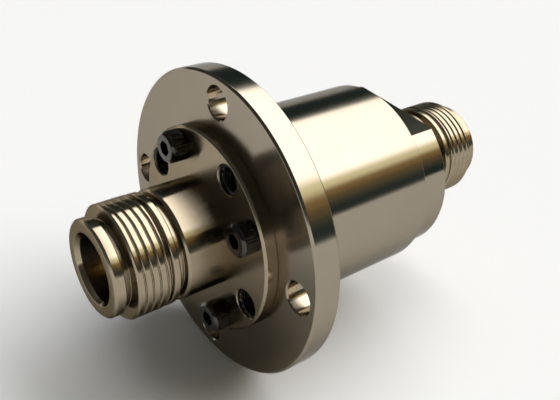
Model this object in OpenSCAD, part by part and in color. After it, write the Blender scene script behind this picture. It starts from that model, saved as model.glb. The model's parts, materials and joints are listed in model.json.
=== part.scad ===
// Coaxial rotary joint: a flanged barrel that stays still, a collar that turns,
// and a threaded jack at each end.
// The turning axis lies along Y, with the front jack towards -Y.
// The origin is the centre of the flange's rear face, which seats on a panel.
// Lengths along the axis are counted forwards from that face.

/* [Mounting flange] */
// Diameter of the flange
flange_d = 45; // [44:0.5:60]
// Thickness of the flange
flange_t = 4; // [3.5:0.1:6]
// Diameter of the panel screw holes
flange_hole_d = 4.5; // [3:0.1:5]
// Distance from the flange's edge to the centres of its screw holes
flange_hole_setback = 3.5; // [2.8:0.1:5]
// Number of panel screw holes
flange_hole_count = 4; // [3:1:8]

/* [Barrel and collar] */
// Thickness of the barrel's wall round the bearings
barrel_wall = 4; // [3.4:0.1:5]
// Length of the barrel behind the flange
barrel_len = 24.7; // [24:0.1:40]
// Diameter of the turning collar
collar_d = 27; // [20:0.1:29]
// Length of the turning collar
collar_len = 5.2; // [4.6:0.1:12]
// Depth of the two wrench flats on the collar
collar_flat_depth = 2.6; // [0.5:0.1:3]
// Angle of the first wrench flat, from the first flange hole
collar_flat_angle = 87; // [0:1:179]
// Open gap between the barrel's end and the collar
collar_gap = 0.3; // [0.1:0.05:0.8]
// Chamfer on the outer edges
edge = 0.3; // [0.1:0.05:0.4]

/* [Front disc] */
// Thickness of the disc
disc_t = 2; // [1.6:0.1:4]
// Distance from the bearings' outside to the centres of the disc's screws and jacking holes
disc_hole_setback = 1.9; // [1.7:0.1:2.2]
// Distance from those centres to the disc's edge
disc_rim = 2.6; // [2.4:0.1:3.6]
// Number of disc screws, and of jacking holes
disc_screw_count = 4; // [3:1:6]
// Angle of the disc screws, from the first flange hole
disc_screw_angle = 27; // [20:1:35]
// Angle of the jacking holes, from the first flange hole
jacking_hole_angle = 63; // [58:1:70]
// Diameter of the jacking holes
jacking_hole_d = 3.8; // [2:0.1:4]
// Diameter of the jacking holes' countersinks
jacking_sink_d = 4.4; // [4.1:0.1:4.6]

/* [Disc screws] */
// Diameter of the screw shank
screw_d = 2.5; // [2:0.1:2.6]
// Length of the screw below its head
screw_len = 6; // [4:0.5:8]
// Diameter of the screw head
screw_head_d = 4.5; // [3.6:0.1:4.8]
// Height of the screw head
screw_head_h = 2.5; // [1.5:0.1:3]
// Width across the flats of the hexagon socket
screw_socket_af = 2; // [1.3:0.1:2.4]
// Depth of the hexagon socket
screw_socket_depth = 1.2; // [0.6:0.1:1.4]

/* [Jacks] */
// Diameter of the neck behind the thread
neck_d = 15.8; // [14.6:0.1:16]
// Length of the front neck
front_neck_len = 6.9; // [4:0.1:12]
// Length of the rear neck
rear_neck_len = 5.6; // [4:0.1:12]
// Width of the groove between neck and ring
neck_groove_w = 1.1; // [0.5:0.1:2]
// Depth of that groove
neck_groove_depth = 1.1; // [0.7:0.1:1.9]
// Width of the ring behind the thread
ring_w = 1; // [0.6:0.1:2]
// Width of the relief between ring and thread
relief_w = 0.4; // [0.2:0.1:1]
// Depth of that relief below the ring
relief_depth = 0.65; // [0.4:0.05:1.4]
// Outside diameter of the thread
thread_d = 15.875; // [15.5:0.005:16.2]
// Length of the thread
thread_len = 4.7; // [4:0.1:8]
// Width of the groove between thread and nose
nose_groove_w = 1; // [0.4:0.1:1.5]
// Depth of that groove below the nose
nose_groove_depth = 0.8; // [0.15:0.05:1]
// Diameter of the nose
nose_d = 13.5; // [12.5:0.1:14.4]
// Length of the nose
nose_len = 1.6; // [1:0.1:3]
// Diameter of the mouth
mouth_d = 9.4; // [7.6:0.1:9.8]
// Widening of the mouth at the nose, on each side
mouth_flare = 0.3; // [0.1:0.1:0.8]
// Length of that widening
mouth_flare_len = 0.7; // [0.2:0.1:3]
// Depth of the mouth, down to the mating shoulder
mouth_depth = 9.1; // [8:0.1:10]
// Bore of the coaxial line
line_d = 7; // [6.6:0.1:7.4]

/* [Inner conductors] */
// Diameter of the inner conductors
core_d = 3.04; // [2.8:0.01:3.2]
// Depth of the contact tip behind the nose
tip_setback = 4.5; // [4:0.1:5]
// Bore of the contact sockets
socket_d = 1.7; // [1.4:0.05:1.8]
// Depth of the contact sockets
socket_depth = 6.5; // [5:0.1:8]
// Width of the slots between contact fingers
finger_slot_w = 0.3; // [0.2:0.05:0.5]
// Length of the slots between contact fingers
finger_slot_len = 5; // [3:0.1:6]
// Length of the pin that joins the two conductors
core_pin_len = 4.7; // [3:0.1:6]
// Distance from the front bearing to the shoulder of that pin
core_joint_setback = 2.1; // [1:0.1:4]
// Length of the insulating beads
bead_len = 3; // [2:0.1:4]
// Depth of the conductor's groove under a bead
bead_groove_depth = 0.25; // [0.1:0.05:0.4]
// Distance from a jack's mating shoulder to its bead
bead_setback = 2.6; // [1:0.1:4]
// Width of the slit in a bead
bead_slit_w = 0.3; // [0.2:0.05:0.6]

/* [Outer contact] */
// Outside diameter of the slotted sleeve
sleeve_d = 9.1; // [8.6:0.1:9.6]
// Length of the sleeve held in the front shell
sleeve_seat_len = 3.3; // [2:0.1:5]
// Length of the fingers inside the shaft
sleeve_finger_len = 3.7; // [2:0.1:5]
// Number of slots between the sleeve's fingers
sleeve_slot_count = 6; // [4:1:8]
// Width of those slots
sleeve_slot_w = 0.4; // [0.2:0.1:0.8]

/* [Bearings] */
// Outside diameter of the bearings
bearing_od = 21; // [19:0.1:23]
// Height of the bearings' section, from bore to outside
bearing_section = 4.5; // [4.4:0.05:4.7]
// Width of the bearings
bearing_w = 5; // [4.6:0.1:6]
// Diameter of the balls
ball_d = 2.381; // [2.2:0.001:2.45]
// Number of balls
ball_count = 12; // [8:1:14]
// Height of the bearing lands above the raceway's bottom
land_h = 0.4; // [0.3:0.05:0.5]
// Thickness of the cage, across the ball circle
cage_t = 1; // [0.8:0.1:1.2]
// Thickness of the cage behind its pockets
cage_web = 0.7; // [0.4:0.1:1]
// Height of the cage's prongs past the ball centres
cage_prong = 0.7; // [0.4:0.1:0.8]

/* [Bearing seats] */
// Length of the spacer between the inner rings
spacer_len = 7.5; // [6:0.1:8.2]
// Thickness of the spacer's wall
spacer_wall = 1.1; // [0.6:0.1:1.4]
// Height of the rib between the bearing seats
rib_h = 1; // [0.6:0.1:1.4]
// Axial float of the front outer ring
bearing_float = 0.4; // [0.2:0.1:0.8]
// Height of the preloaded wave spring
spring_h = 1.2; // [0.9:0.1:1.6]
// Thickness of the wave spring's strip
spring_t = 0.3; // [0.2:0.05:0.4]
// Width of the wave spring's strip
spring_w = 1.2; // [0.8:0.1:1.4]
// Number of waves
spring_waves = 3; // [2:1:5]
// Thickness of the shaft nut
nut_t = 3; // [2:0.1:3.2]
// Thickness of the shaft nut's wall
nut_wall = 2; // [1.5:0.1:2.2]
// Width of the nut's spanner slots
nut_slot_w = 2; // [1:0.1:2.6]
// Depth of the nut's spanner slots
nut_slot_depth = 0.8; // [0.4:0.1:1]
// Length of shaft that shows past the nut
shaft_end = 0.4; // [0.2:0.1:0.6]
// Height of the shoulder behind the rear bearing
shoulder_h = 1.2; // [0.8:0.1:1.4]

/* [Retainer and seals] */
// Thickness of the bearing retainer
retainer_t = 2.5; // [2.3:0.1:3]
// Depth of the retainer below the barrel's end
retainer_recess = 0.5; // [0.2:0.1:0.8]
// Radial gap between the retainer and the shoulder
retainer_gap = 0.4; // [0.3:0.1:0.8]
// Height of the rim that presses on the outer ring
retainer_rim_h = 0.3; // [0.2:0.1:0.4]
// Width of that rim
retainer_rim_w = 1.1; // [0.8:0.1:1.2]
// Width of the retainer's spanner slots
retainer_slot_w = 1.6; // [1:0.1:2.2]
// Depth of the retainer's spanner slots
retainer_slot_depth = 0.3; // [0.2:0.05:0.4]
// Distance from the shoulder to the felt seal's outside
seal_reach = 2.1; // [1.6:0.1:2.3]
// Thickness of the felt seal
seal_t = 1.1; // [0.8:0.1:1.2]
// Thickness of the spigot's wall
spigot_wall = 1.9; // [1.7:0.1:2]
// Depth of the O-ring groove
o_ring_groove_depth = 1; // [0.8:0.1:1.1]
// Width of the O-ring groove
o_ring_groove_w = 1.3; // [1.1:0.1:1.6]
// Distance from the disc to the O-ring groove
o_ring_setback = 1.6; // [1:0.1:3]
// Thickness of the front shell behind the disc
shell_floor = 1; // [0.6:0.1:1.4]
// Thickness of the wall around the contact sleeve
boss_wall = 1.6; // [1:0.1:2]
// Depth of the rear shell's threaded end in the collar
rear_seat_len = 4; // [2.5:0.1:4.2]
// Diameter of the rear shell's threaded end
rear_seat_d = 11.8; // [10:0.1:13]

/* [Fits] */
// Radial clearance of pieces that are pressed or screwed together
fixed_clearance = 0.02; // [0.01:0.01:0.05]
// Radial clearance of pieces that turn inside each other
running_clearance = 0.06; // [0.04:0.01:0.1]
// Open gap between the conductors where they meet
core_gap = 0.5; // [0.2:0.1:1]
// Open gap between the front shell's boss and the shaft
boss_gap = 1; // [0.5:0.1:1.4]
// Radial clearance of a screw in the disc
screw_clearance = 0.1; // [0.05:0.05:0.3]
// Depth of a tapped hole past its screw
tap_spare = 0.8; // [0.4:0.1:1.5]

/* [Hidden] */
$fn = 96;
// How far a cutter runs past the face that it cuts
over = 1;

// Radii
flange_r = flange_d / 2;
flange_hole_r = flange_r - flange_hole_setback;
barrel_r = bearing_od / 2 + barrel_wall;
collar_r = collar_d / 2;
disc_hole_r = bearing_od / 2 + disc_hole_setback;
disc_r = disc_hole_r + disc_rim;
bearing_id = bearing_od - 2 * bearing_section;
seat_r = bearing_od / 2 + fixed_clearance;
shaft_r = bearing_id / 2 - fixed_clearance;
pitch_r = (bearing_id + bearing_od) / 4;
track_r = ball_d / 2 + running_clearance;
inner_land_r = pitch_r - track_r + land_h;
outer_land_r = pitch_r + track_r - land_h;
line_r = line_d / 2;
core_r = core_d / 2;
sleeve_r = sleeve_d / 2;
sleeve_bore_r = sleeve_r + fixed_clearance;
contact_bore_r = sleeve_r + running_clearance;
boss_r = sleeve_bore_r + boss_wall;
spigot_r = bearing_od / 2 - fixed_clearance;
rear_seat_r = rear_seat_d / 2;
nut_r = bearing_id / 2 + nut_wall;
shoulder_r = bearing_id / 2 + shoulder_h;
retainer_bore_r = shoulder_r + retainer_gap;
seal_r = shoulder_r + seal_reach;
seal_bore_r = shoulder_r + running_clearance;

// Places along the axis, from the rear end of the barrel forwards
barrel_end = -barrel_len;
collar_front = barrel_end - collar_gap;
collar_rear = collar_front - collar_len;
retainer_rear = barrel_end + retainer_recess;
rear_bearing_rear = retainer_rear + retainer_t;
rear_bearing_front = rear_bearing_rear + bearing_w;
front_bearing_rear = rear_bearing_front + spacer_len;
front_bearing_front = front_bearing_rear + bearing_w;
rib_front = front_bearing_rear - bearing_float;
spigot_end = front_bearing_front + spring_h;
shaft_front = front_bearing_front + nut_t + shaft_end;
boss_end = shaft_front + boss_gap;
sleeve_front = boss_end + sleeve_seat_len;
sleeve_rear = shaft_front - sleeve_finger_len;
contact_floor = sleeve_rear - core_gap;
disc_front = flange_t + disc_t;
o_groove_front = flange_t - o_ring_setback;
o_groove_rear = o_groove_front - o_ring_groove_w;

// The jack's length past its neck
jack_len = neck_groove_w + ring_w + relief_w + thread_len + nose_groove_w + nose_len;
front_nose = disc_front + front_neck_len + jack_len;
rear_nose = collar_rear - rear_neck_len - jack_len;
front_tip = front_nose - tip_setback;
rear_tip = rear_nose + tip_setback;
core_shoulder = front_bearing_front - core_joint_setback;
core_mouth = core_shoulder - core_gap;
front_bead_front = front_nose - mouth_depth - bead_setback;
rear_bead_front = rear_nose + mouth_depth + bead_setback + bead_len;
shaft_bead_front = core_mouth - socket_depth - bead_setback;
rear_seat_front = collar_rear + rear_seat_len;
bead_bore_r = core_r - bead_groove_depth;

// Lays a piece that was drawn along +Z on the joint's axis, front end towards -Y
module on_axis() {
    rotate([90, 0, 0]) children();
}

// A turned piece from its half section, in radius and place along the axis
module turned(section) {
    on_axis() rotate_extrude() polygon(section);
}

// Copies of a piece round the axis
module around(count, radius, start = 0) {
    for (i = [0 : count - 1]) {
        rotate([0, 0, start + i * 360 / count]) translate([radius, 0, 0]) children();
    }
}

// A plain ring along +Z, from one place to another
module ring(inner_r, outer_r, from, to) {
    translate([0, 0, from]) difference() {
        cylinder(r = outer_r, h = to - from);
        translate([0, 0, -over]) cylinder(r = inner_r, h = to - from + 2 * over);
    }
}

// Outside of a jack, from its base to the nose; way is 1 towards the front, -1 towards the rear
function jack_outside(base, neck_len, way) = let (
    groove = base + way * neck_len,
    band = groove + way * neck_groove_w,
    relief = band + way * ring_w,
    thread = relief + way * relief_w,
    nose_groove = thread + way * thread_len,
    nose = nose_groove + way * nose_groove_w,
    tip = nose + way * nose_len,
    bevel = way * edge
) [
    [neck_d / 2, base],
    [neck_d / 2, groove - bevel],
    [neck_d / 2 - edge, groove],
    [neck_d / 2 - neck_groove_depth, groove],
    [neck_d / 2 - neck_groove_depth, band],
    [neck_d / 2, band],
    [neck_d / 2, relief],
    [neck_d / 2 - relief_depth, relief],
    [neck_d / 2 - relief_depth, thread],
    [thread_d / 2 - edge, thread],
    [thread_d / 2, thread + bevel],
    [thread_d / 2, nose_groove - bevel],
    [thread_d / 2 - edge, nose_groove],
    [nose_d / 2 - nose_groove_depth, nose_groove],
    [nose_d / 2 - nose_groove_depth, nose],
    [nose_d / 2, nose],
    [nose_d / 2, tip - bevel],
    [nose_d / 2 - edge, tip]
];

// Inside of a jack, from the nose to the mating shoulder
function jack_inside(tip, way) = [
    [mouth_d / 2 + mouth_flare, tip],
    [mouth_d / 2, tip - way * mouth_flare_len],
    [mouth_d / 2, tip - way * mouth_depth],
    [line_r, tip - way * mouth_depth]
];

// Two crossing slots that split a conductor's end into four fingers, cut from its end along +Z
module finger_slots(length) {
    for (turn = [0, 90]) {
        rotate([0, 0, turn]) translate([-core_d, -finger_slot_w / 2, -over]) {
            cube([2 * core_d, finger_slot_w, length + over]);
        }
    }
}

// A slotted contact socket, cut from a conductor's end along +Z
module contact_socket() {
    translate([0, 0, -over]) cylinder(d = socket_d, h = socket_depth + over);
    finger_slots(finger_slot_len);
}

// A groove in a conductor, under one of the beads
module bead_groove(front) {
    translate([0, 0, front - bead_len]) difference() {
        cylinder(r = core_d, h = bead_len);
        translate([0, 0, -over]) cylinder(r = bead_bore_r, h = bead_len + 2 * over);
    }
}

// An insulating bead, slit so that it springs over the conductor into its groove
module bead(front) {
    color("ivory") on_axis() translate([0, 0, front - bead_len + fixed_clearance]) {
        bead_h = bead_len - 2 * fixed_clearance;
        difference() {
            cylinder(r = line_r - fixed_clearance, h = bead_h);
            translate([0, 0, -over]) cylinder(r = bead_bore_r + fixed_clearance, h = bead_h + 2 * over);
            translate([0, -bead_slit_w / 2, -over]) cube([line_d, bead_slit_w, bead_h + 2 * over]);
        }
    }
}

module outer_ring(rear) {
    color("lightsteelblue") on_axis() difference() {
        ring(outer_land_r, bearing_od / 2, rear, rear + bearing_w);
        translate([0, 0, rear + bearing_w / 2]) rotate_extrude() translate([pitch_r, 0]) circle(r = track_r);
    }
}

module inner_ring(rear) {
    color("lightsteelblue") on_axis() difference() {
        ring(bearing_id / 2, inner_land_r, rear, rear + bearing_w);
        translate([0, 0, rear + bearing_w / 2]) rotate_extrude() translate([pitch_r, 0]) circle(r = track_r);
    }
}

module balls(rear) {
    color("gainsboro") on_axis() translate([0, 0, rear + bearing_w / 2]) {
        around(ball_count, pitch_r) sphere(d = ball_d);
    }
}

// A crown cage: closed behind the balls, with prongs that reach past their centres
module cage(rear) {
    pocket_r = track_r;
    color("peru") on_axis() translate([0, 0, rear + bearing_w / 2]) difference() {
        ring(pitch_r - cage_t / 2, pitch_r + cage_t / 2, -pocket_r - cage_web, cage_prong);
        around(ball_count, 0) rotate([0, 90, 0]) cylinder(r = pocket_r, h = bearing_od);
    }
}

module housing() {
    section = [
        [seat_r + edge, flange_t],
        [flange_r - edge, flange_t],
        [flange_r, flange_t - edge],
        [flange_r, edge],
        [flange_r - edge, 0],
        [barrel_r, 0],
        [barrel_r, barrel_end + edge],
        [barrel_r - edge, barrel_end],
        [seat_r + edge, barrel_end],
        [seat_r, barrel_end + edge],
        [seat_r, rear_bearing_front],
        [seat_r - rib_h, rear_bearing_front],
        [seat_r - rib_h, rib_front],
        [seat_r, rib_front],
        [seat_r, flange_t - edge]
    ];
    tap_depth = screw_len - disc_t + tap_spare;
    color("darkkhaki") difference() {
        turned(section);
        on_axis() {
            around(flange_hole_count, flange_hole_r) translate([0, 0, -over]) {
                cylinder(d = flange_hole_d, h = flange_t + 2 * over);
            }
            around(disc_screw_count, disc_hole_r, disc_screw_angle) {
                translate([0, 0, flange_t - tap_depth]) {
                    cylinder(r = screw_d / 2 + fixed_clearance, h = tap_depth + over);
                }
            }
        }
    }
}

module front_connector_shell() {
    floor_s = flange_t - shell_floor;
    section = concat(
        jack_outside(disc_front, front_neck_len, 1),
        jack_inside(front_nose, 1),
        [
            [line_r, sleeve_front],
            [sleeve_bore_r, sleeve_front],
            [sleeve_bore_r, boss_end],
            [boss_r, boss_end],
            [boss_r, floor_s],
            [spigot_r - spigot_wall, floor_s],
            [spigot_r - spigot_wall, spigot_end],
            [spigot_r - edge, spigot_end],
            [spigot_r, spigot_end + edge],
            [spigot_r, o_groove_rear],
            [spigot_r - o_ring_groove_depth, o_groove_rear],
            [spigot_r - o_ring_groove_depth, o_groove_front],
            [spigot_r, o_groove_front],
            [spigot_r, flange_t],
            [disc_r, flange_t],
            [disc_r, disc_front - edge],
            [disc_r - edge, disc_front]
        ]
    );
    sink_depth = (jacking_sink_d - jacking_hole_d) / 2;
    color("tan") difference() {
        turned(section);
        on_axis() {
            around(disc_screw_count, disc_hole_r, disc_screw_angle) {
                translate([0, 0, flange_t - over]) {
                    cylinder(r = screw_d / 2 + screw_clearance, h = disc_t + 2 * over);
                }
            }
            around(disc_screw_count, disc_hole_r, jacking_hole_angle) {
                translate([0, 0, flange_t - over]) cylinder(d = jacking_hole_d, h = disc_t + 2 * over);
                translate([0, 0, disc_front - sink_depth]) {
                    cylinder(d1 = jacking_hole_d, d2 = jacking_sink_d, h = sink_depth);
                }
            }
        }
    }
}

// A socket head cap screw along +Z, head up, seated on the plane at zero
module cap_screw() {
    hexagon_d = screw_socket_af / cos(30);
    bevel = screw_head_d / 12;
    difference() {
        union() {
            translate([0, 0, -screw_len]) cylinder(d = screw_d, h = screw_len);
            cylinder(d = screw_head_d, h = screw_head_h - bevel);
            translate([0, 0, screw_head_h - bevel]) {
                cylinder(d1 = screw_head_d, d2 = screw_head_d - 2 * bevel, h = bevel);
            }
        }
        translate([0, 0, screw_head_h - screw_socket_depth]) {
            cylinder(d = hexagon_d, h = screw_socket_depth + over, $fn = 6);
        }
    }
}

module connector_screws() {
    color("dimgray") on_axis() around(disc_screw_count, disc_hole_r, disc_screw_angle) {
        translate([0, 0, disc_front]) cap_screw();
    }
}

module front_o_ring() {
    groove_bottom = spigot_r - o_ring_groove_depth;
    cord_r = (seat_r - groove_bottom) / 2 - fixed_clearance;
    color("black") on_axis() translate([0, 0, (o_groove_front + o_groove_rear) / 2]) {
        rotate_extrude() translate([(seat_r + groove_bottom) / 2, 0]) circle(r = cord_r);
    }
}

module front_bead() {
    bead(front_bead_front);
}

module rear_bead() {
    bead(rear_bead_front);
}

module shaft_bead() {
    bead(shaft_bead_front);
}

module front_inner_conductor() {
    pin_end = core_shoulder - core_pin_len;
    pin_r = socket_d / 2 - running_clearance;
    color("goldenrod") on_axis() difference() {
        union() {
            translate([0, 0, core_shoulder]) cylinder(r = core_r, h = front_tip - core_shoulder);
            translate([0, 0, pin_end]) cylinder(r = pin_r, h = core_pin_len);
        }
        bead_groove(front_bead_front);
        translate([0, 0, front_tip]) mirror([0, 0, 1]) contact_socket();
    }
}

module rear_inner_conductor() {
    color("goldenrod") on_axis() difference() {
        translate([0, 0, rear_tip]) cylinder(r = core_r, h = core_mouth - rear_tip);
        bead_groove(rear_bead_front);
        bead_groove(shaft_bead_front);
        translate([0, 0, rear_tip]) contact_socket();
        translate([0, 0, core_mouth]) mirror([0, 0, 1]) contact_socket();
    }
}

module outer_contact_sleeve() {
    color("gold") on_axis() difference() {
        ring(line_r, sleeve_r, sleeve_rear, sleeve_front - fixed_clearance);
        around(sleeve_slot_count, 0) translate([0, -sleeve_slot_w / 2, sleeve_rear - over]) {
            cube([sleeve_d, sleeve_slot_w, boss_end - sleeve_rear + over]);
        }
    }
}

// A flat strip that rises and falls round the ring, touching both of its neighbours
module wave_spring() {
    steps = 16 * spring_waves;
    outer_r = bearing_od / 2 - 5 * fixed_clearance;
    inner_r = outer_r - spring_w;
    middle = front_bearing_front + spring_h / 2;
    swing = (spring_h - spring_t) / 2 - fixed_clearance;
    corners = [
        [inner_r, -spring_t / 2],
        [outer_r, -spring_t / 2],
        [outer_r, spring_t / 2],
        [inner_r, spring_t / 2]
    ];
    points = [
        for (i = [0 : steps - 1], c = corners) let (a = i * 360 / steps)
            [c[0] * cos(a), c[0] * sin(a), middle + swing * sin(a * spring_waves) + c[1]]
    ];
    faces = [
        for (i = [0 : steps - 1], j = [0 : 3]) let (k = (i + 1) % steps, n = (j + 1) % 4)
            each [[4 * i + j, 4 * i + n, 4 * k + n], [4 * i + j, 4 * k + n, 4 * k + j]]
    ];
    color("slategray") on_axis() polyhedron(points = points, faces = faces);
}

module front_bearing_outer_ring() {
    outer_ring(front_bearing_rear);
}

module rear_bearing_outer_ring() {
    outer_ring(rear_bearing_rear);
}

module front_bearing_inner_ring() {
    inner_ring(front_bearing_rear);
}

module rear_bearing_inner_ring() {
    inner_ring(rear_bearing_rear);
}

module front_bearing_balls() {
    balls(front_bearing_rear);
}

module rear_bearing_balls() {
    balls(rear_bearing_rear);
}

module front_bearing_cage() {
    cage(front_bearing_rear);
}

module rear_bearing_cage() {
    cage(rear_bearing_rear);
}

module bearing_retainer() {
    outer_r = bearing_od / 2 - fixed_clearance;
    face = rear_bearing_rear - retainer_rim_h;
    seal_middle = (retainer_rear + face) / 2;
    groove_r = seal_r + fixed_clearance;
    groove_half = seal_t / 2 + fixed_clearance;
    section = [
        [outer_r, retainer_rear],
        [outer_r, rear_bearing_rear],
        [outer_r - retainer_rim_w, rear_bearing_rear],
        [outer_r - retainer_rim_w, face],
        [retainer_bore_r, face],
        [retainer_bore_r, seal_middle + groove_half],
        [groove_r, seal_middle + groove_half],
        [groove_r, seal_middle - groove_half],
        [retainer_bore_r, seal_middle - groove_half],
        [retainer_bore_r, retainer_rear]
    ];
    color("silver") difference() {
        turned(section);
        on_axis() around(4, 0) translate([0, -retainer_slot_w / 2, retainer_rear - over]) {
            cube([bearing_od, retainer_slot_w, retainer_slot_depth + over]);
        }
    }
}

module shaft_seal() {
    middle = (retainer_rear + rear_bearing_rear - retainer_rim_h) / 2;
    color("darkslategray") on_axis() ring(seal_bore_r, seal_r, middle - seal_t / 2, middle + seal_t / 2);
}

module rotor_hub() {
    section = [
        [contact_bore_r, shaft_front],
        [shaft_r - edge, shaft_front],
        [shaft_r, shaft_front - edge],
        [shaft_r, rear_bearing_rear],
        [shoulder_r, rear_bearing_rear],
        [shoulder_r, collar_front],
        [collar_r - edge, collar_front],
        [collar_r, collar_front - edge],
        [collar_r, collar_rear + edge],
        [collar_r - edge, collar_rear],
        [rear_seat_r + fixed_clearance, collar_rear],
        [rear_seat_r + fixed_clearance, rear_seat_front],
        [line_r, rear_seat_front],
        [line_r, contact_floor],
        [contact_bore_r, contact_floor]
    ];
    flat_r = collar_r - collar_flat_depth;
    color("darkkhaki") difference() {
        turned(section);
        on_axis() around(2, flat_r, collar_flat_angle) translate([0, -collar_r, collar_rear - over]) {
            cube([collar_r, collar_d, collar_len + 2 * over]);
        }
    }
}

module rear_connector_shell() {
    section = concat(
        jack_outside(collar_rear, rear_neck_len, -1),
        jack_inside(rear_nose, -1),
        [
            [line_r, rear_seat_front],
            [rear_seat_r - edge, rear_seat_front],
            [rear_seat_r, rear_seat_front - edge],
            [rear_seat_r, collar_rear]
        ]
    );
    color("tan") turned(section);
}

module inner_spacer() {
    color("silver") on_axis() {
        ring(bearing_id / 2, bearing_id / 2 + spacer_wall, rear_bearing_front, front_bearing_rear);
    }
}

module shaft_nut() {
    color("silver") on_axis() difference() {
        ring(bearing_id / 2, nut_r, front_bearing_front, front_bearing_front + nut_t);
        around(4, nut_r - nut_slot_depth) {
            translate([0, -nut_slot_w / 2, front_bearing_front - over]) {
                cube([nut_r, nut_slot_w, nut_t + 2 * over]);
            }
        }
    }
}

housing();
front_connector_shell();
connector_screws();
front_o_ring();
front_bead();
front_inner_conductor();
outer_contact_sleeve();
wave_spring();
front_bearing_outer_ring();
rear_bearing_outer_ring();
bearing_retainer();
shaft_seal();
rotor_hub();
rear_connector_shell();
rear_inner_conductor();
rear_bead();
shaft_bead();
front_bearing_inner_ring();
rear_bearing_inner_ring();
inner_spacer();
shaft_nut();
front_bearing_balls();
front_bearing_cage();
rear_bearing_balls();
rear_bearing_cage();
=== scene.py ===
"""Looks of a coaxial rotary joint: turned and plated metal with two threaded jacks, on a pale floor."""
import json
import math

import bmesh
import bpy
from mathutils import Matrix, Vector


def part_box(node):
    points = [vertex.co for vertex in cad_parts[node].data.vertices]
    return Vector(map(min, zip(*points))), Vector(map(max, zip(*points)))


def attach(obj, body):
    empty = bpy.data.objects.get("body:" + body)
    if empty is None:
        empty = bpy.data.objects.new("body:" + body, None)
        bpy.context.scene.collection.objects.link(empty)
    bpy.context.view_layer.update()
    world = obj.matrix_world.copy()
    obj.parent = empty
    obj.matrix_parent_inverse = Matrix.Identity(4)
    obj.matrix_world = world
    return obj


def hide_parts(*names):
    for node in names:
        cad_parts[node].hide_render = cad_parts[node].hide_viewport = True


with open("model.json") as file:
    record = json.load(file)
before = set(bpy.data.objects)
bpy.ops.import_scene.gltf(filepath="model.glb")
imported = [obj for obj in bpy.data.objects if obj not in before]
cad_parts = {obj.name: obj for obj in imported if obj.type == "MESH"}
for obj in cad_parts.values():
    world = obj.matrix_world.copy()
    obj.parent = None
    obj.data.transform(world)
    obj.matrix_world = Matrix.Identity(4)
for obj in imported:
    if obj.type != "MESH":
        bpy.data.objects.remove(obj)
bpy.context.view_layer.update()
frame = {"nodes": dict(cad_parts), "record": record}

# Sizes are in millimetres, and a place counts forwards along the axis from the flange's rear face
MM = 0.001
TAU = 2 * math.pi


def corners(node):
    """A node's lowest and highest corners, in millimetres."""
    low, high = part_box(node)
    return Vector(low) / MM, Vector(high) / MM


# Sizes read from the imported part
mounts = {m["name"]: m["dims"] for m in frame["record"]["mounts"]}
housing_low, housing_high = corners("housing")
front_low, front_high = corners("front_connector_shell")
rear_low, rear_high = corners("rear_connector_shell")
hub_low, hub_high = corners("rotor_hub")
screws_low, screws_high = corners("connector_screws")
front_core_low, front_core_high = corners("front_inner_conductor")
rear_core_low, rear_core_high = corners("rear_inner_conductor")
spring_bearing_high = corners("front_bearing_outer_ring")[1]
fixed_bearing_low, fixed_bearing_high = corners("rear_bearing_outer_ring")

flange_r = housing_high.x
flange_t = -housing_low.y
barrel_end = -housing_high.y
barrel_r = mounts["barrel_pilot"]["r_mm"]
flange_hole_ring = mounts["flange_bolts"]["pcd_mm"] / 2
flange_hole_r = mounts["flange_bolts"]["hole_r_mm"]
flange_hole_count = mounts["flange_bolts"]["count"]
thread_r = mounts["front_thread"]["r_mm"]
disc_r = front_high.x
front_nose = -front_low.y
spigot_end = -front_high.y
rear_nose = -rear_high.y
rear_seat_front = -rear_low.y
collar_r = hub_high.x
collar_rear = -hub_high.y
shaft_front = -hub_low.y
bearing_r = fixed_bearing_high.x
rear_bearing_rear = -fixed_bearing_high.y
rear_bearing_front = -fixed_bearing_low.y
front_bearing_rear = -spring_bearing_high.y
front_tip = -front_core_low.y
front_pin_end = -front_core_high.y
rear_tip = -rear_core_high.y
core_mouth = -rear_core_low.y
screw_top = -screws_low.y
screw_end = -screws_high.y

# Sizes shared with the part's solids
EDGE = 0.3
FIXED_CLEARANCE = 0.02
RUNNING_CLEARANCE = 0.06
DISC_T = 2.0
DISC_HOLE_RING = 12.4
DISC_SCREW_COUNT = 4
DISC_SCREW_ANGLE = 27.0
JACKING_HOLE_ANGLE = 63.0
JACKING_HOLE_R = 1.9
JACKING_SINK_R = 2.2
SCREW_R = 1.25
SCREW_HOLE_R = 1.35
SCREW_HEAD_R = 2.25
SCREW_HEAD_H = 2.5
SCREW_SOCKET_AF = 2.0
SCREW_SOCKET_DEPTH = 1.2
TAP_SPARE = 0.8
NECK_R = 7.9
NECK_GROOVE_W = 1.1
NECK_GROOVE_R = 6.8
RING_W = 1.0
RELIEF_W = 0.4
RELIEF_R = 7.25
THREAD_LEN = 4.7
NOSE_GROOVE_W = 1.0
NOSE_GROOVE_R = 5.95
NOSE_R = 6.75
NOSE_LEN = 1.6
MOUTH_R = 4.7
MOUTH_FLARE = 0.3
MOUTH_FLARE_LEN = 0.7
MOUTH_DEPTH = 9.1
LINE_R = 3.5
CORE_R = 1.52
CORE_PIN_LEN = 4.7
SOCKET_R = 0.85
SOCKET_DEPTH = 6.5
FINGER_SLOT_W = 0.3
FINGER_SLOT_LEN = 5.0
BEAD_LEN = 3.0
BEAD_GROOVE_R = 1.27
BEAD_SETBACK = 2.6
SLEEVE_R = 4.55
SLEEVE_SEAT_LEN = 3.3
SLEEVE_FINGER_LEN = 3.7
CORE_GAP = 0.5
BOSS_GAP = 1.0
BOSS_WALL = 1.6
SHELL_FLOOR = 1.0
SPIGOT_WALL = 1.9
O_GROOVE_FRONT_SETBACK = 1.6
O_GROOVE_W = 1.3
O_GROOVE_DEPTH = 1.0
RIB_H = 1.0
BEARING_FLOAT = 0.4
SHAFT_R = 5.98
SHOULDER_R = 7.2
COLLAR_LEN = 5.2
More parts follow.
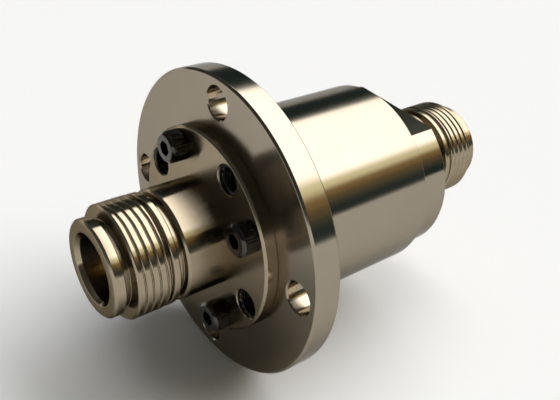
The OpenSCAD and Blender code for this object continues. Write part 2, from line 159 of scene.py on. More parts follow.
COLLAR_FLAT_DEPTH = 2.6
COLLAR_FLAT_ANGLE = 87.0
REAR_SEAT_R = 5.9

# Fine forms that the solids leave out
FILLET = 0.1
CORE_FILLET = 0.05
SCREW_FILLET = 0.06
HOLE_BREAK = 0.18
CORE_BEVEL = 0.2
PIN_BEVEL = 0.3
JACK_PITCH = 25.4 / 24
JACK_THREAD_DEPTH = 0.27
JACKING_PITCH = 0.7
JACKING_THREAD_DEPTH = 0.36
SCREW_PITCH = 0.45
SCREW_THREAD_DEPTH = 0.24
SCREW_POINT = 0.2
SCREW_PLAIN_LEN = 0.7
SCREW_RUN_OUT = 0.1
SCREW_HEAD_EDGE = 0.1
SCREW_HEAD_BEVEL = SCREW_HEAD_R / 6
CREST_SHARE = 0.68
ROOT_SHARE = 0.05
THREAD_BEVEL_SLOPE = 1.2
KNURL_COUNT = 32
KNURL_DEPTH = 0.07
KNURL_FROM_SEAT = 0.35
KNURL_FROM_TOP = 0.55

# How the meshes are divided, and where a corner of an outline counts as straight or an edge as sharp
SEGMENTS = 224
HOLE_SEGMENTS = 64
TAP_SEGMENTS = 32
CORE_SEGMENTS = 64
SEGMENTS_PER_RIDGE = 4
FILLET_STEPS = 4
FILLET_ROOM = 0.45
THREAD_ROWS_PER_PITCH = 14
STRAIGHT_HALF_ANGLE = 85.0
SHARP_ANGLE = 32.0

# Distances that count as nothing
ON_AXIS = 1e-6
SLACK = 0.01

# How far a cutter reaches past the face that it starts from, and the slope of a drill's point
CUT_PAST = 1.0
DRILL_POINT_ANGLE = 30.0

# Camera, fitted to the circles of the photograph and enlarged about the object
CAMERA_PLACE = Vector((69.92, -52.05, 58.49))
CAMERA_RIGHT = Vector((0.615, 0.785, 0.0711))
CAMERA_UP = Vector((-0.4586, 0.283, 0.8427))
CAMERA_BACK = Vector((0.6408, -0.551, 0.5339))
CAMERA_LENS = 46.4
CAMERA_CLIP_M = 0.001


def rounded(points, fillet=FILLET):
    """An open outline of (radius, place) points, with an arc in each corner between its ends."""
    result = [points[0]]
    for before, here, after in zip(points, points[1:], points[2:]):
        corner = Vector(here)
        back = Vector(before) - corner
        ahead = Vector(after) - corner
        room = FILLET_ROOM * min(back.length, ahead.length)
        half = back.angle(ahead) / 2
        if half > math.radians(STRAIGHT_HALF_ANGLE):
            result.append(here)
            continue
        reach = min(fillet / math.tan(half), room)
        radius = reach * math.tan(half)
        middle = (back.normalized() + ahead.normalized()).normalized()
        centre = corner + middle * radius / math.sin(half)
        first = corner + back.normalized() * reach - centre
        last = corner + ahead.normalized() * reach - centre
        for i in range(FILLET_STEPS + 1):
            spoke = first.lerp(last, i / FILLET_STEPS).normalized() * radius
            result.append(tuple(centre + spoke))
    result.append(points[-1])
    return result


def thread_valley(phase):
    """Depth of a thread at a share of its pitch, from 0 on the crest to 1 at the root."""
    from_crest = abs((phase % 1.0) - 0.5) * 2
    share = (from_crest - CREST_SHARE) / (1 - CREST_SHARE - ROOT_SHARE)
    return min(max(share, 0.0), 1.0)


def thread_rows(radius, start, end, pitch, depth):
    """Rows of (radius, place, pitch, depth) along a thread, bevelled at both ends."""
    length = abs(end - start)
    count = round(length / pitch * THREAD_ROWS_PER_PITCH)
    rows = []
    for i in range(count + 1):
        from_end = length * min(i, count - i) / count
        crest = radius - max(depth - THREAD_BEVEL_SLOPE * from_end, 0.0)
        rows.append((crest, start + (end - start) * i / count, pitch, depth))
    return rows


def point(radius, place, angle):
    """A point in metres, from its radius, place along the axis and angle."""
    return Vector((radius * math.cos(angle), -place, radius * math.sin(angle))) * MM


def lathe(name, outline, segments=SEGMENTS, closed=True):
    """A turned mesh from an outline, whose thread rows follow a helix."""
    mesh = bmesh.new()
    thread_crest = max((row[0] for row in outline if len(row) == 4), default=0.0)
    rings = []
    for row in outline:
        if row[0] < ON_AXIS:
            rings.append([mesh.verts.new(point(0, row[1], 0))] * segments)
            continue
        ring = []
        for i in range(segments):
            radius = row[0]
            if len(row) == 4:
                pitch, depth = row[2:]
                radius = min(radius, thread_crest - depth * thread_valley(row[1] / pitch - i / segments))
            ring.append(mesh.verts.new(point(radius, row[1], TAU * i / segments)))
        rings.append(ring)
    pairs = list(zip(rings, rings[1:]))
    if closed:
        pairs.append((rings[-1], rings[0]))
    for one, two in pairs:
        for i in range(segments):
            k = (i + 1) % segments
            loop = []
            for vert in (one[i], one[k], two[k], two[i]):
                if vert not in loop:
                    loop.append(vert)
            if len(loop) > 2:
                mesh.faces.new(loop)
    bmesh.ops.recalc_face_normals(mesh, faces=mesh.faces)
    return made(name, mesh)


def made(name, mesh):
    """A new object from a bmesh, with smooth faces."""
    data = bpy.data.meshes.new(name)
    mesh.to_mesh(data)
    mesh.free()
    data.polygons.foreach_set("use_smooth", [True] * len(data.polygons))
    piece = bpy.data.objects.new(name, data)
    bpy.context.scene.collection.objects.link(piece)
    return piece


def placed(piece, matrices):
    """Turns a piece's mesh into copies of itself, one for each matrix."""
    mesh = bmesh.new()
    for matrix in matrices:
        copy = piece.data.copy()
        copy.transform(matrix)
        mesh.from_mesh(copy)
        bpy.data.meshes.remove(copy)
    mesh.to_mesh(piece.data)
    mesh.free()
    return piece


def around(count, radius, start=0.0):
    """Matrices that carry a piece from the axis to places on a circle round it."""
    result = []
    for i in range(count):
        turn = Matrix.Rotation(-math.radians(start) - TAU * i / count, 4, "Y")
        result.append(turn @ Matrix.Translation((radius * MM, 0, 0)))
    return result


def disc_places(start):
    """Matrices for the holes in the disc, the first of them at an angle."""
    return around(DISC_SCREW_COUNT, DISC_HOLE_RING, start)


def cut(piece, *cutters):
    """Cuts other pieces out of a piece and deletes them."""
    for cutter in cutters:
        tool = piece.modifiers.new("cut", "BOOLEAN")
        tool.object = cutter
        tool.operation = "DIFFERENCE"
        tool.solver = "EXACT"
    graph = bpy.context.evaluated_depsgraph_get()
    data = bpy.data.meshes.new_from_object(piece.evaluated_get(graph))
    piece.modifiers.clear()
    old = piece.data
    piece.data = data
    bpy.data.meshes.remove(old)
    for cutter in cutters:
        bpy.data.objects.remove(cutter)
    return piece


def sharpen(piece, skip=None):
    """Marks the sharp edges of a piece, apart from those in a stretch of thread, and evens its normals."""
    mesh = bmesh.new()
    mesh.from_mesh(piece.data)
    for edge in mesh.edges:
        places = [-vert.co.y / MM for vert in edge.verts]
        threaded = skip and all(min(skip) < place < max(skip) for place in places)
        steep = len(edge.link_faces) == 2 and edge.calc_face_angle(0.0) > math.radians(SHARP_ANGLE)
        edge.smooth = bool(threaded) or not steep
    mesh.to_mesh(piece.data)
    mesh.free()
    even = piece.modifiers.new("even_normals", "WEIGHTED_NORMAL")
    even.keep_sharp = True
    return piece


def drill(name, profile, places, segments=HOLE_SEGMENTS):
    """Cutters from one profile of (radius, place) points, which starts and ends on its own axis."""
    return placed(lathe(name, profile, segments, closed=False), places)


def hole_profile(radius, low, high):
    """Profile of a cutter for a hole between two faces, which breaks the edge at both of them."""
    wide = radius + HOLE_BREAK + CUT_PAST
    below = low - CUT_PAST
    above = high + CUT_PAST
    return [
        (0, below), (wide, below), (radius, low + HOLE_BREAK),
        (radius, high - HOLE_BREAK), (wide, above), (0, above),
    ]


def block(name, matrix):
    """A box cutter, from the matrix that sizes and places a unit cube."""
    mesh = bmesh.new()
    bmesh.ops.create_cube(mesh, size=1.0, matrix=matrix)
    return made(name, mesh)


def prism(name, flats, low, high):
    """A hexagonal cutter along the axis, with a drill's point at its low end."""
    sides = 6
    corner_r = flats / 2 / math.cos(math.pi / sides)
    point_len = flats / 2 * math.tan(math.radians(DRILL_POINT_ANGLE))
    outline = [(0, low - point_len), (corner_r, low), (corner_r, high), (0, high)]
    return lathe(name, outline, sides, closed=False)


# Turned pieces


def jack_outside(base, way):
    """Outline of a jack from its base over the nose into the mouth.

    It comes as the points before the thread, the thread's rows, the points after it, and the thread's ends.
    """
    nose = front_nose if way > 0 else rear_nose
    nose_back = nose - way * NOSE_LEN
    thread_front = nose_back - way * NOSE_GROOVE_W
    thread_back = thread_front - way * THREAD_LEN
    ring_front = thread_back - way * RELIEF_W
    ring_back = ring_front - way * RING_W
    groove_back = ring_back - way * NECK_GROOVE_W
    bevel = way * EDGE
    before = [
        (NECK_R, base), (NECK_R, groove_back - bevel), (NECK_R - EDGE, groove_back),
        (NECK_GROOVE_R, groove_back), (NECK_GROOVE_R, ring_back),
        (NECK_R - EDGE / 2, ring_back), (NECK_R, ring_back + bevel / 2),
        (NECK_R, ring_front - bevel / 2), (NECK_R - EDGE / 2, ring_front),
        (RELIEF_R, ring_front), (RELIEF_R, thread_back),
    ]
    after = [
        (thread_r - JACK_THREAD_DEPTH, thread_front), (NOSE_GROOVE_R, thread_front),
        (NOSE_GROOVE_R, nose_back), (NOSE_R - EDGE / 2, nose_back), (NOSE_R, nose_back + bevel / 2),
        (NOSE_R, nose - bevel), (NOSE_R - EDGE, nose),
        (MOUTH_R + MOUTH_FLARE, nose), (MOUTH_R, nose - way * MOUTH_FLARE_LEN),
        (MOUTH_R, nose - way * MOUTH_DEPTH), (LINE_R, nose - way * MOUTH_DEPTH),
    ]
    thread = thread_rows(thread_r, thread_back, thread_front, JACK_PITCH, JACK_THREAD_DEPTH)
    return before, thread, after, (thread_back, thread_front)


def make_housing():
    """Mounting flange and barrel, with the bearing seats, the flange's holes and the screws' taps."""
    seat_r = bearing_r + FIXED_CLEARANCE
    rib_front = front_bearing_rear - BEARING_FLOAT
    outline = rounded([
        (seat_r, 0), (seat_r, flange_t - EDGE), (seat_r + EDGE, flange_t),
        (flange_r - EDGE, flange_t), (flange_r, flange_t - EDGE),
        (flange_r, EDGE), (flange_r - EDGE, 0),
        (barrel_r, 0), (barrel_r, barrel_end + EDGE), (barrel_r - EDGE, barrel_end),
        (seat_r + EDGE, barrel_end), (seat_r, barrel_end + EDGE),
        (seat_r, rear_bearing_front), (seat_r - RIB_H, rear_bearing_front),
        (seat_r - RIB_H, rib_front), (seat_r, rib_front), (seat_r, rib_front + EDGE),
    ])
    piece = lathe("turned_housing", outline)
    panel_places = around(flange_hole_count, flange_hole_ring)
    panel_holes = drill("panel_holes", hole_profile(flange_hole_r, 0, flange_t), panel_places)
    tap_end = screw_end - TAP_SPARE
    tap_start = flange_t + CUT_PAST
    tap_r = SCREW_R + FIXED_CLEARANCE
    tap = [(0, tap_end), (tap_r, tap_end), (tap_r, tap_start), (0, tap_start)]
    taps = drill("taps", tap, disc_places(DISC_SCREW_ANGLE), TAP_SEGMENTS)
    return sharpen(cut(piece, panel_holes, taps))


def make_front_shell():
    """Disc, neck, threaded jack and spigot, with the screws' holes and the tapped jacking holes."""
    disc_front = flange_t + DISC_T
    before, thread, after, span = jack_outside(disc_front, 1)
    spigot_r = bearing_r - FIXED_CLEARANCE
    spigot_inner = spigot_r - SPIGOT_WALL
    sleeve_bore = SLEEVE_R + FIXED_CLEARANCE
    boss_end = shaft_front + BOSS_GAP
    sleeve_front = boss_end + SLEEVE_SEAT_LEN
    floor = flange_t - SHELL_FLOOR
    groove_front = flange_t - O_GROOVE_FRONT_SETBACK
    groove_rear = groove_front - O_GROOVE_W
    groove_r = spigot_r - O_GROOVE_DEPTH
    back = [
        (LINE_R, sleeve_front), (sleeve_bore, sleeve_front), (sleeve_bore, boss_end),
        (sleeve_bore + BOSS_WALL, boss_end), (sleeve_bore + BOSS_WALL, floor),
        (spigot_inner, floor), (spigot_inner, spigot_end), (spigot_r - EDGE, spigot_end),
        (spigot_r, spigot_end + EDGE), (spigot_r, groove_rear), (groove_r, groove_rear),
        (groove_r, groove_front), (spigot_r, groove_front), (spigot_r, flange_t),
        (disc_r, flange_t), (disc_r, disc_front - EDGE), (disc_r - EDGE, disc_front),
        (NECK_R + EDGE, disc_front),
    ]
    outline = rounded(before) + thread + rounded(after + back)
    piece = lathe("front_jack_shell", outline)
    screw_hole = hole_profile(SCREW_HOLE_R, flange_t, disc_front)
    screw_holes = drill("screw_holes", screw_hole, disc_places(DISC_SCREW_ANGLE))
    places = disc_places(JACKING_HOLE_ANGLE)
    below = flange_t - CUT_PAST
    above = disc_front + CUT_PAST
    tap_r = JACKING_HOLE_R + JACKING_THREAD_DEPTH / 2
    tap = thread_rows(tap_r, below, above, JACKING_PITCH, JACKING_THREAD_DEPTH)
    taps = drill("jacking_taps", [(0, below)] + tap + [(0, above)], places)
    sink_back = disc_front - (JACKING_SINK_R - JACKING_HOLE_R)
    sink = [(0, sink_back), (JACKING_HOLE_R, sink_back), (JACKING_SINK_R + CUT_PAST, above), (0, above)]
    sinks = drill("jacking_sinks", sink, places)
    return sharpen(cut(piece, screw_holes, taps, sinks), skip=span)


def make_rear_shell():
    """Neck and threaded jack that screws into the collar."""
    before, thread, after, span = jack_outside(collar_rear, -1)
    back = [
        (LINE_R, rear_seat_front), (REAR_SEAT_R - EDGE, rear_seat_front),
        (REAR_SEAT_R, rear_seat_front - EDGE), (REAR_SEAT_R, collar_rear), (NECK_R - EDGE, collar_rear),
    ]
    outline = rounded(before) + thread + rounded(after + back)
    return sharpen(lathe("rear_jack_shell", outline), skip=span)


def make_hub():
    """Hollow shaft and collar, with two wrench flats on the collar."""
    collar_front = collar_rear + COLLAR_LEN
    contact_bore = SLEEVE_R + RUNNING_CLEARANCE
    contact_floor = shaft_front - SLEEVE_FINGER_LEN - CORE_GAP
    seat_bore = REAR_SEAT_R + FIXED_CLEARANCE
    outline = rounded([
        (contact_bore, shaft_front - EDGE), (contact_bore, shaft_front), (SHAFT_R - EDGE, shaft_front),
        (SHAFT_R, shaft_front - EDGE), (SHAFT_R, rear_bearing_rear), (SHOULDER_R, rear_bearing_rear),
        (SHOULDER_R, collar_front), (collar_r - EDGE, collar_front), (collar_r, collar_front - EDGE),
        (collar_r, collar_rear + EDGE), (collar_r - EDGE, collar_rear),
        (seat_bore, collar_rear), (seat_bore, rear_seat_front), (LINE_R, rear_seat_front),
        (LINE_R, contact_floor), (contact_bore, contact_floor), (contact_bore, contact_floor + EDGE),
    ])
    piece = lathe("turned_rotor_hub", outline)
    middle = (collar_front + collar_rear) / 2
    size = Matrix.Diagonal((collar_r * MM, (COLLAR_LEN + 2 * CUT_PAST) * MM, 2 * collar_r * MM, 1))
    flats = block("flats", Matrix.Translation((0, -middle * MM, 0)) @ size)
    block_ring = collar_r - COLLAR_FLAT_DEPTH + collar_r / 2
    placed(flats, around(2, block_ring, COLLAR_FLAT_ANGLE))
    return sharpen(cut(piece, flats))


def knurl(piece, low, high):
    """Presses straight ridges into the side of a screw head."""
    for vert in piece.data.vertices:
        place = -vert.co.y / MM
        radius = math.hypot(vert.co.x, vert.co.z) / MM
        if low < place < high and radius > SCREW_HEAD_R - KNURL_DEPTH:
            angle = math.atan2(vert.co.z, vert.co.x)
            sunk = KNURL_DEPTH * (0.5 - 0.5 * math.cos(KNURL_COUNT * angle))
            vert.co.x *= (radius - sunk) / radius
            vert.co.z *= (radius - sunk) / radius


def make_screws():
    """Socket head cap screws with knurled heads and threaded shanks."""
    seat = screw_top - SCREW_HEAD_H
    knurl_low = seat + KNURL_FROM_SEAT
    knurl_high = screw_top - KNURL_FROM_TOP
    thread_span = (screw_end + SCREW_POINT, seat - SCREW_PLAIN_LEN - SCREW_RUN_OUT)
    thread = thread_rows(SCREW_R, *thread_span, SCREW_PITCH, SCREW_THREAD_DEPTH)
    shank_core = SCREW_R - SCREW_THREAD_DEPTH
    head = rounded([
        (SCREW_R, seat - SCREW_PLAIN_LEN), (SCREW_R, seat), (SCREW_HEAD_R - SCREW_HEAD_EDGE, seat),
        (SCREW_HEAD_R, seat + SCREW_HEAD_EDGE), (SCREW_HEAD_R, knurl_low),
        (SCREW_HEAD_R, (knurl_low + knurl_high) / 2), (SCREW_HEAD_R, knurl_high),
        (SCREW_HEAD_R, screw_top - SCREW_HEAD_BEVEL), (SCREW_HEAD_R - SCREW_HEAD_BEVEL, screw_top),
        (0, screw_top),
    ], SCREW_FILLET)
    outline = [(0, screw_end), (shank_core, screw_end)] + thread + head
    piece = lathe("cap_screws", outline, SEGMENTS_PER_RIDGE * KNURL_COUNT, closed=False)
    knurl(piece, knurl_low - SLACK, knurl_high + SLACK)
    cut(piece, prism("hexagon", SCREW_SOCKET_AF, screw_top - SCREW_SOCKET_DEPTH, screw_top + CUT_PAST))
    placed(piece, disc_places(DISC_SCREW_ANGLE))
    return sharpen(piece, skip=thread_span)


def finger_slots(end, way):
    """Two crossing slots that split a conductor's end into four fingers."""
    cutters = []
    for turn in (0, math.pi / 2):
        length = FINGER_SLOT_LEN + CUT_PAST
        middle = end - way * (length / 2 - CUT_PAST)
        size = Matrix.Diagonal((4 * CORE_R * MM, length * MM, FINGER_SLOT_W * MM, 1))
        place = Matrix.Rotation(turn, 4, "Y") @ Matrix.Translation((0, -middle * MM, 0))
        cutters.append(block("slot", place @ size))
    return cutters


def socket_end(end, way):
    """Outline of a contact socket from its floor on the axis to the conductor's outside."""
    floor = end - way * SOCKET_DEPTH
    bevelled = end - way * CORE_BEVEL
    return [
        (0, floor), (SOCKET_R, floor), (SOCKET_R, bevelled), (SOCKET_R + CORE_BEVEL, end),
        (CORE_R - CORE_BEVEL, end), (CORE_R, bevelled),
    ]


def bead_groove(front):
    """Outline of a conductor's groove under a bead, from its front end backwards."""
    rear = front - BEAD_LEN
    return [(CORE_R, front), (BEAD_GROOVE_R, front), (BEAD_GROOVE_R, rear), (CORE_R, rear)]


def make_front_core():
    """Front centre contact: a slotted socket at the jack end, a pin at the turning end."""
    shoulder = front_pin_end + CORE_PIN_LEN
    pin_r = SOCKET_R - RUNNING_CLEARANCE
    outline = socket_end(front_tip, 1)
    outline += bead_groove(front_nose - MOUTH_DEPTH - BEAD_SETBACK)
    outline += [(CORE_R, shoulder), (pin_r, shoulder), (pin_r, front_pin_end + PIN_BEVEL)]
    outline += [(pin_r - PIN_BEVEL, front_pin_end), (0, front_pin_end)]
    piece = lathe("front_centre_contact", rounded(outline, CORE_FILLET), CORE_SEGMENTS, closed=False)
    return sharpen(cut(piece, *finger_slots(front_tip, 1)))


def make_rear_core():
    """Rear centre contact, with a slotted socket at both ends."""
    outline = socket_end(core_mouth, 1)
    outline += bead_groove(core_mouth - SOCKET_DEPTH - BEAD_SETBACK)
    outline += bead_groove(rear_nose + MOUTH_DEPTH + BEAD_SETBACK + BEAD_LEN)
    outline += reversed(socket_end(rear_tip, -1))
    piece = lathe("rear_centre_contact", rounded(outline, CORE_FILLET), CORE_SEGMENTS, closed=False)
    return sharpen(cut(piece, *finger_slots(core_mouth, 1), *finger_slots(rear_tip, -1)))


# Materials

# Grain and patches: how many fit in a metre, how they are broken up, and the grain's height in metres
PATCHES_PER_M = 140
PATCH_DETAIL = 3.0
PATCH_ROUGH = 0.55
GRAINS_PER_PATCH = 12
GRAIN_DETAIL = 5.0
GRAIN_ROUGH = 0.65
GRAIN_HEIGHT = 0.00002

# Turning marks: detail, share on flat faces, height in metres, and the quarter turn that spreads light
MARK_DETAIL = 2.0
MARK_FACE_SHARE = 0.73
MARK_HEIGHT = 0.000004
ACROSS_MARKS = 0.25

# Painted shade in the jacking holes, which darkens them as if they were deep, its roughness, and the shares
# of the flange's thickness between which it fades in
HOLE_SHADE_COLOUR = (0.04, 0.042, 0.042)
HOLE_SHADE_ROUGH = 0.42
HOLE_SHADE_FADE = (0.7, 0.8)


def new_material(name):
    """An empty material and its shader."""
    material = bpy.data.materials.new(name)
    material.use_nodes = True
    return material, material.node_tree, material.node_tree.nodes["Principled BSDF"]


def math_node(tree, operation, one, two=None):
    """Result of an operation on one or two values, each of them fixed or linked."""
    node = tree.nodes.new("ShaderNodeMath")
    node.operation = operation
    for socket, value in zip(node.inputs, (one, two)):
        if isinstance(value, (int, float)):
            socket.default_value = value
        elif value is not None:
            tree.links.new(value, socket)
    return node.outputs[0]


def ranged(tree, value, low, high):
    """A value from 0 to 1, carried over to a range."""
    node = tree.nodes.new("ShaderNodeMapRange")
    tree.links.new(value, node.inputs["Value"])
    node.inputs["To Min"].default_value = low
    node.inputs["To Max"].default_value = high
    return node.outputs["Result"]


def stepped(tree, value, low, high):
    """A smooth step from 0 at low to 1 at high."""
    node = tree.nodes.new("ShaderNodeMapRange")
    node.interpolation_type = "SMOOTHSTEP"
    tree.links.new(value, node.inputs["Value"])
    node.inputs["From Min"].default_value = low
    node.inputs["From Max"].default_value = high
    return node.outputs["Result"]


def mixed(tree, share, one, two):
    """A colour between two colours, each of them fixed or linked."""
    node = tree.nodes.new("ShaderNodeMix")
    node.data_type = "RGBA"
    tree.links.new(share, node.inputs["Factor"])
    for socket, colour in ((node.inputs["A"], one), (node.inputs["B"], two)):
        if isinstance(colour, tuple):
            socket.default_value = (*colour, 1)
        else:
            tree.links.new(colour, socket)
    return node.outputs["Result"]


def object_place(tree):
    """Place on the surface, in the piece's own axes."""
    return tree.nodes.new("ShaderNodeTexCoord").outputs["Object"]


def axis_parts(tree):
    """The place's x, y and z, and the square of its distance from the turning axis."""
    split = tree.nodes.new("ShaderNodeSeparateXYZ")
    tree.links.new(object_place(tree), split.inputs[0])
    x, y, z = split.outputs
    square = math_node(tree, "ADD", math_node(tree, "MULTIPLY", x, x), math_node(tree, "MULTIPLY", z, z))
    return x, y, z, square


def cloud(tree, scale, detail=PATCH_DETAIL, rough=PATCH_ROUGH):
    """Soft patches over the surface; scale counts them per metre."""
    node = tree.nodes.new("ShaderNodeTexNoise")
    node.inputs["Scale"].default_value = scale
    node.inputs["Detail"].default_value = detail
    node.inputs["Roughness"].default_value = rough
    tree.links.new(object_place(tree), node.inputs["Vector"])
    return node.outputs["Fac"]


def turning_marks(tree, scale):
    """Rings round the axis, on cylinders and on flat faces alike; scale counts them per metre."""
    _, y, _, square = axis_parts(tree)
    outwards = math_node(tree, "MULTIPLY", math_node(tree, "SQRT", square), MARK_FACE_SHARE)
    along = math_node(tree, "ADD", y, outwards)
    node = tree.nodes.new("ShaderNodeTexNoise")
    node.noise_dimensions = "1D"
    node.inputs["Scale"].default_value = scale
    node.inputs["Detail"].default_value = MARK_DETAIL
    tree.links.new(along, node.inputs["W"])
    return node.outputs["Fac"]


def in_jacking_holes(tree):
    """Where shade is painted: 1 on the walls and floors of the jacking holes, 0 elsewhere."""
    x, y, z, square = axis_parts(tree)
    ring = DISC_HOLE_RING * MM
    turn = math_node(tree, "SUBTRACT", math_node(tree, "ARCTAN2", z, x), math.radians(JACKING_HOLE_ANGLE))
    aside = math_node(tree, "COSINE", math_node(tree, "PINGPONG", turn, math.pi / DISC_SCREW_COUNT))
    towards = math_node(tree, "MULTIPLY", math_node(tree, "SQRT", square), aside)
    cross = math_node(tree, "MULTIPLY", towards, 2 * ring)
    gap = math_node(tree, "SUBTRACT", math_node(tree, "ADD", square, ring * ring), cross)
    near = stepped(tree, gap, (JACKING_SINK_R * MM) ** 2, (JACKING_HOLE_R * MM) ** 2)
    front = stepped(tree, y, *(-share * flange_t * MM for share in HOLE_SHADE_FADE))
    return math_node(tree, "MULTIPLY", near, front)


def bumped(tree, shader, height, strength, distance):
    """Gives a shader a bump; distance is its full height in metres."""
    node = tree.nodes.new("ShaderNodeBump")
    node.inputs["Strength"].default_value = strength
    node.inputs["Distance"].default_value = distance
    tree.links.new(height, node.inputs["Height"])
    tree.links.new(node.outputs["Normal"], shader.inputs["Normal"])


def turned_metal(
    name, colour, shade, smooth, dull, marks=7000, strength=0.12, spread=0.0, grazing=1.0, tapped=False
):
    """Metal with fine turning marks and with patches of tint and gloss.

    The marks spread what it mirrors along the axis. Grazing is the share of light kept at flat angles. Where
    asked, shade is painted into the jacking holes to darken them.
    """
    material, tree, shader = new_material(name)
    shader.inputs["Metallic"].default_value = 1.0
    shader.inputs["Specular Tint"].default_value = (grazing, grazing, grazing, 1)
    shader.inputs["Anisotropic"].default_value = spread
    shader.inputs["Anisotropic Rotation"].default_value = ACROSS_MARKS
    tangent = tree.nodes.new("ShaderNodeTangent")
    tangent.direction_type = "RADIAL"
    tangent.axis = "Y"
    tree.links.new(tangent.outputs[0], shader.inputs["Tangent"])
    rings = turning_marks(tree, marks)
    patches = cloud(tree, PATCHES_PER_M)
    blend = math_node(tree, "MULTIPLY", math_node(tree, "ADD", rings, patches), 0.5)
    tint = mixed(tree, patches, colour, shade)
    rough = ranged(tree, blend, smooth, dull)
    # Painted shade: the jacking holes and the face at their bottom are darkened as if shadowed in depth
    if tapped:
        holes = in_jacking_holes(tree)
        tint = mixed(tree, holes, tint, HOLE_SHADE_COLOUR)
        rough = math_node(tree, "MAXIMUM", rough, math_node(tree, "MULTIPLY", holes, HOLE_SHADE_ROUGH))
    tree.links.new(tint, shader.inputs["Base Color"])
    tree.links.new(rough, shader.inputs["Roughness"])
    bumped(tree, shader, rings, strength, MARK_HEIGHT)
    return material


def grained(name, colour, shade, smooth, dull, scale, strength, metallic=0.0):
    """A grained surface, such as oxide, rubber, felt or a moulded insulator."""
    material, tree, shader = new_material(name)
    shader.inputs["Metallic"].default_value = metallic
    grain = cloud(tree, scale, GRAIN_DETAIL, GRAIN_ROUGH)
    patches = cloud(tree, scale / GRAINS_PER_PATCH)
    tree.links.new(mixed(tree, patches, colour, shade), shader.inputs["Base Color"])
    tree.links.new(ranged(tree, grain, smooth, dull), shader.inputs["Roughness"])
    bumped(tree, shader, grain, strength, GRAIN_HEIGHT)
    return material


# tapped=True paints shade into the jacking holes of a piece
METALS = {
    "plated_body": dict(
        colour=(0.335, 0.291, 0.23), shade=(0.302, 0.261, 0.2), smooth=0.1, dull=0.18,
        spread=0.95, grazing=0.5, tapped=True,
    ),
    "plated_rotor": dict(
        colour=(0.335, 0.291, 0.23), shade=(0.302, 0.261, 0.2), smooth=0.06, dull=0.13,
        spread=0.95, grazing=0.5,
    ),
    "plated_jack": dict(
        colour=(0.36, 0.302, 0.22), shade=(0.322, 0.265, 0.185), smooth=0.13, dull=0.2,
        spread=1.0, grazing=0.25, tapped=True,
    ),
    "gold_contact": dict(
        colour=(0.83, 0.55, 0.17), shade=(0.76, 0.48, 0.13), smooth=0.14, dull=0.28, marks=12000
    ),
    "spring_steel": dict(
        colour=(0.16, 0.17, 0.2), shade=(0.2, 0.16, 0.13), smooth=0.25, dull=0.4, marks=12000
    ),
    "bearing_steel": dict(
        colour=(0.6, 0.6, 0.61), shade=(0.54, 0.54, 0.55), smooth=0.06, dull=0.14, marks=16000, strength=0.06
    ),
    "inner_steel": dict(
        colour=(0.42, 0.42, 0.42), shade=(0.36, 0.36, 0.355), smooth=0.22, dull=0.4, marks=5000
    ),
    "cage_brass": dict(
        colour=(0.62, 0.42, 0.15), shade=(0.55, 0.36, 0.12), smooth=0.25, dull=0.4, marks=9000
    ),
}
GRAINED = {
    "black_screws": dict(
        colour=(0.045, 0.043, 0.038), shade=(0.085, 0.079, 0.066), smooth=0.1, dull=0.22,
        scale=2600, strength=0.12, metallic=1.0,
    ),
    "seal_rubber": dict(
        colour=(0.012, 0.012, 0.012), shade=(0.02, 0.02, 0.02), smooth=0.5, dull=0.7, scale=3000, strength=0.2
    ),
    "seal_felt": dict(
        colour=(0.07, 0.07, 0.066), shade=(0.12, 0.118, 0.11), smooth=0.9, dull=1.0, scale=5000, strength=0.9
    ),
    "white_insulator": dict(
        colour=(0.84, 0.83, 0.79), shade=(0.79, 0.78, 0.73), smooth=0.4, dull=0.55, scale=1800, strength=0.1
    ),
}
materials = {slot: turned_metal(slot, **finish) for slot, finish in METALS.items()}
materials.update({slot: grained(slot, **finish) for slot, finish in GRAINED.items()})

# What stands for the solids that show, with the body that each rides on
pieces = [
    (make_housing(), "stator", "housing", "plated_body"),
    (make_front_shell(), "stator", "front_connector_shell", "plated_jack"),
    (make_screws(), "stator", "connector_screws", "black_screws"),
    (make_front_core(), "stator", "front_inner_conductor", "gold_contact"),
    (make_hub(), "rotor", "rotor_hub", "plated_rotor"),
    (make_rear_shell(), "rotor", "rear_connector_shell", "plated_jack"),
    (make_rear_core(), "rotor", "rear_inner_conductor", "gold_contact"),
]
for piece, body, node, slot in pieces:
    piece.data.materials.clear()
    piece.data.materials.append(materials[slot])
    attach(piece, body)
    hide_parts(node)

# The other solids keep their form and take the finish of their slot
replaced = {node for _, _, node, _ in pieces}
for part in frame["record"]["subparts"]:
    if part["node"] not in replaced:
        solid = frame["nodes"][part["node"]]
        solid.data.materials.clear()
        solid.data.materials.append(materials[part["material_slot"]])


# Floor, light and camera

FLOOR_REACH_M = 30.0
FLOOR_COLOUR = (0.86, 0.857, 0.845)
FLOOR_ROUGH = 0.85
FLOOR_GLOSS = 0.1


def make_floor():
    """A wide pale floor, which the flange's edge touches."""
    mesh = bmesh.new()
    bmesh.ops.create_grid(mesh, x_segments=1, y_segments=1, size=FLOOR_REACH_M)
    floor = made("floor", mesh)
    floor.location.z = -flange_r * MM
    material, _, shader = new_material("pale_floor")
    shader.inputs["Base Color"].default_value = (*FLOOR_COLOUR, 1)
    shader.inputs["Roughness"].default_value = FLOOR_ROUGH
    shader.inputs["Specular IOR Level"].default_value = FLOOR_GLOSS
    floor.data.materials.append(material)


def ramp(tree, value, stops):
    """A colour that changes along a value from 0 to 1."""
    node = tree.nodes.new("ShaderNodeValToRGB")
    elements = node.color_ramp.elements
    node.color_ramp.interpolation = "EASE"
    while len(elements) < len(stops):
        elements.new(1.0)
    for element, (place, colour) in zip(elements, stops):
        element.position = place
        element.color = (*colour, 1)
    tree.links.new(value, node.inputs["Fac"])
    return node.outputs["Color"]


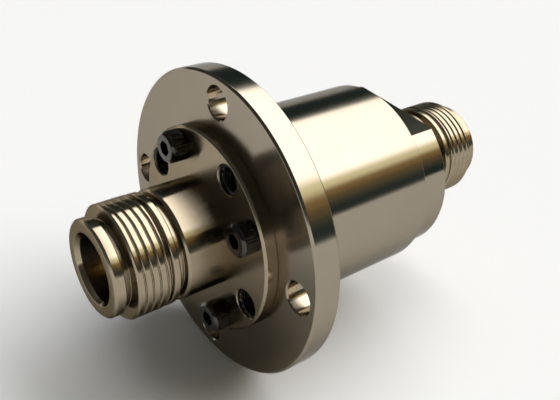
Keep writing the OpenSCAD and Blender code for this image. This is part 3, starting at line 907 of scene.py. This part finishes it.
# The lamp's light far behind the part and nearer to it, and the colours of the surroundings as shares of it
FAR_LIGHT = 4.0
NEAR_LIGHT = 4.7
LAMP = (1.0, 1.0, 1.01)
PALE = (0.24, 0.239, 0.236)
CEILING = (0.06, 0.06, 0.06)
ROOM = (0.016, 0.017, 0.016)
DARK = (0.008, 0.014, 0.014)
GOLDEN = (0.44, 0.42, 0.29)
TAN = (0.126, 0.085, 0.037)
BROWN = (0.057, 0.045, 0.025)
UMBER = (0.025, 0.027, 0.021)

# Colours round the axis, from 0 on the right to 1 on the left, and colours by height
LAMP_STOPS = [
    (0.01, PALE), (0.02, DARK), (0.06, DARK), (0.09, UMBER), (0.125, BROWN), (0.172, TAN), (0.225, GOLDEN),
    (0.29, LAMP), (0.715, LAMP), (0.738, DARK), (0.928, DARK), (0.94, PALE),
]
WALL_STOPS = [(0.1, PALE), (0.2, ROOM)]
CEILING_STOPS = WALL_STOPS + [(0.5, ROOM), (0.75, CEILING)]

# Steps in the surroundings, each from the place where it is 0 to the place where it is 1
LAMP_START_Y = (0.18, 0.3)
LAMP_END_Y = (0.93, 0.8)
NEAR_LIGHT_Y = (0.62, 0.42)
CEILING_Y = (-0.36, -0.2)
CEILING_X = (0.36, 0.1)


def make_surroundings():
    """A long soft lamp high behind the part, in a dim room with a grey ceiling and warm wood on the right."""
    world = bpy.data.worlds.new("studio")
    bpy.context.scene.world = world
    world.use_nodes = True
    tree = world.node_tree
    split = tree.nodes.new("ShaderNodeSeparateXYZ")
    tree.links.new(tree.nodes.new("ShaderNodeTexCoord").outputs["Generated"], split.inputs[0])
    x, y, height = split.outputs
    round_axis = math_node(tree, "DIVIDE", math_node(tree, "ARCTAN2", height, x), math.pi)
    lamp = ramp(tree, round_axis, LAMP_STOPS)
    walls = ramp(tree, height, WALL_STOPS)
    ceiling = ramp(tree, height, CEILING_STOPS)
    overhead = math_node(tree, "MULTIPLY", stepped(tree, y, *CEILING_Y), stepped(tree, x, *CEILING_X))
    room = mixed(tree, overhead, walls, ceiling)
    behind = math_node(tree, "MULTIPLY", stepped(tree, y, *LAMP_START_Y), stepped(tree, y, *LAMP_END_Y))
    level = ranged(tree, stepped(tree, y, *NEAR_LIGHT_Y), FAR_LIGHT, NEAR_LIGHT)
    background = tree.nodes["Background"]
    tree.links.new(mixed(tree, behind, room, lamp), background.inputs["Color"])
    tree.links.new(level, background.inputs["Strength"])


def make_camera():
    """A camera at the photograph's viewing angle."""
    data = bpy.data.cameras.new("camera")
    data.lens = CAMERA_LENS
    data.clip_start = CAMERA_CLIP_M
    camera = bpy.data.objects.new("camera", data)
    axes = Matrix((CAMERA_RIGHT, CAMERA_UP, CAMERA_BACK)).transposed()
    camera.matrix_world = Matrix.Translation(CAMERA_PLACE * MM) @ axes.to_quaternion().to_matrix().to_4x4()
    bpy.context.scene.collection.objects.link(camera)
    bpy.context.scene.camera = camera


make_floor()
make_surroundings()
make_camera()
bpy.context.scene.view_settings.view_transform = "Standard"
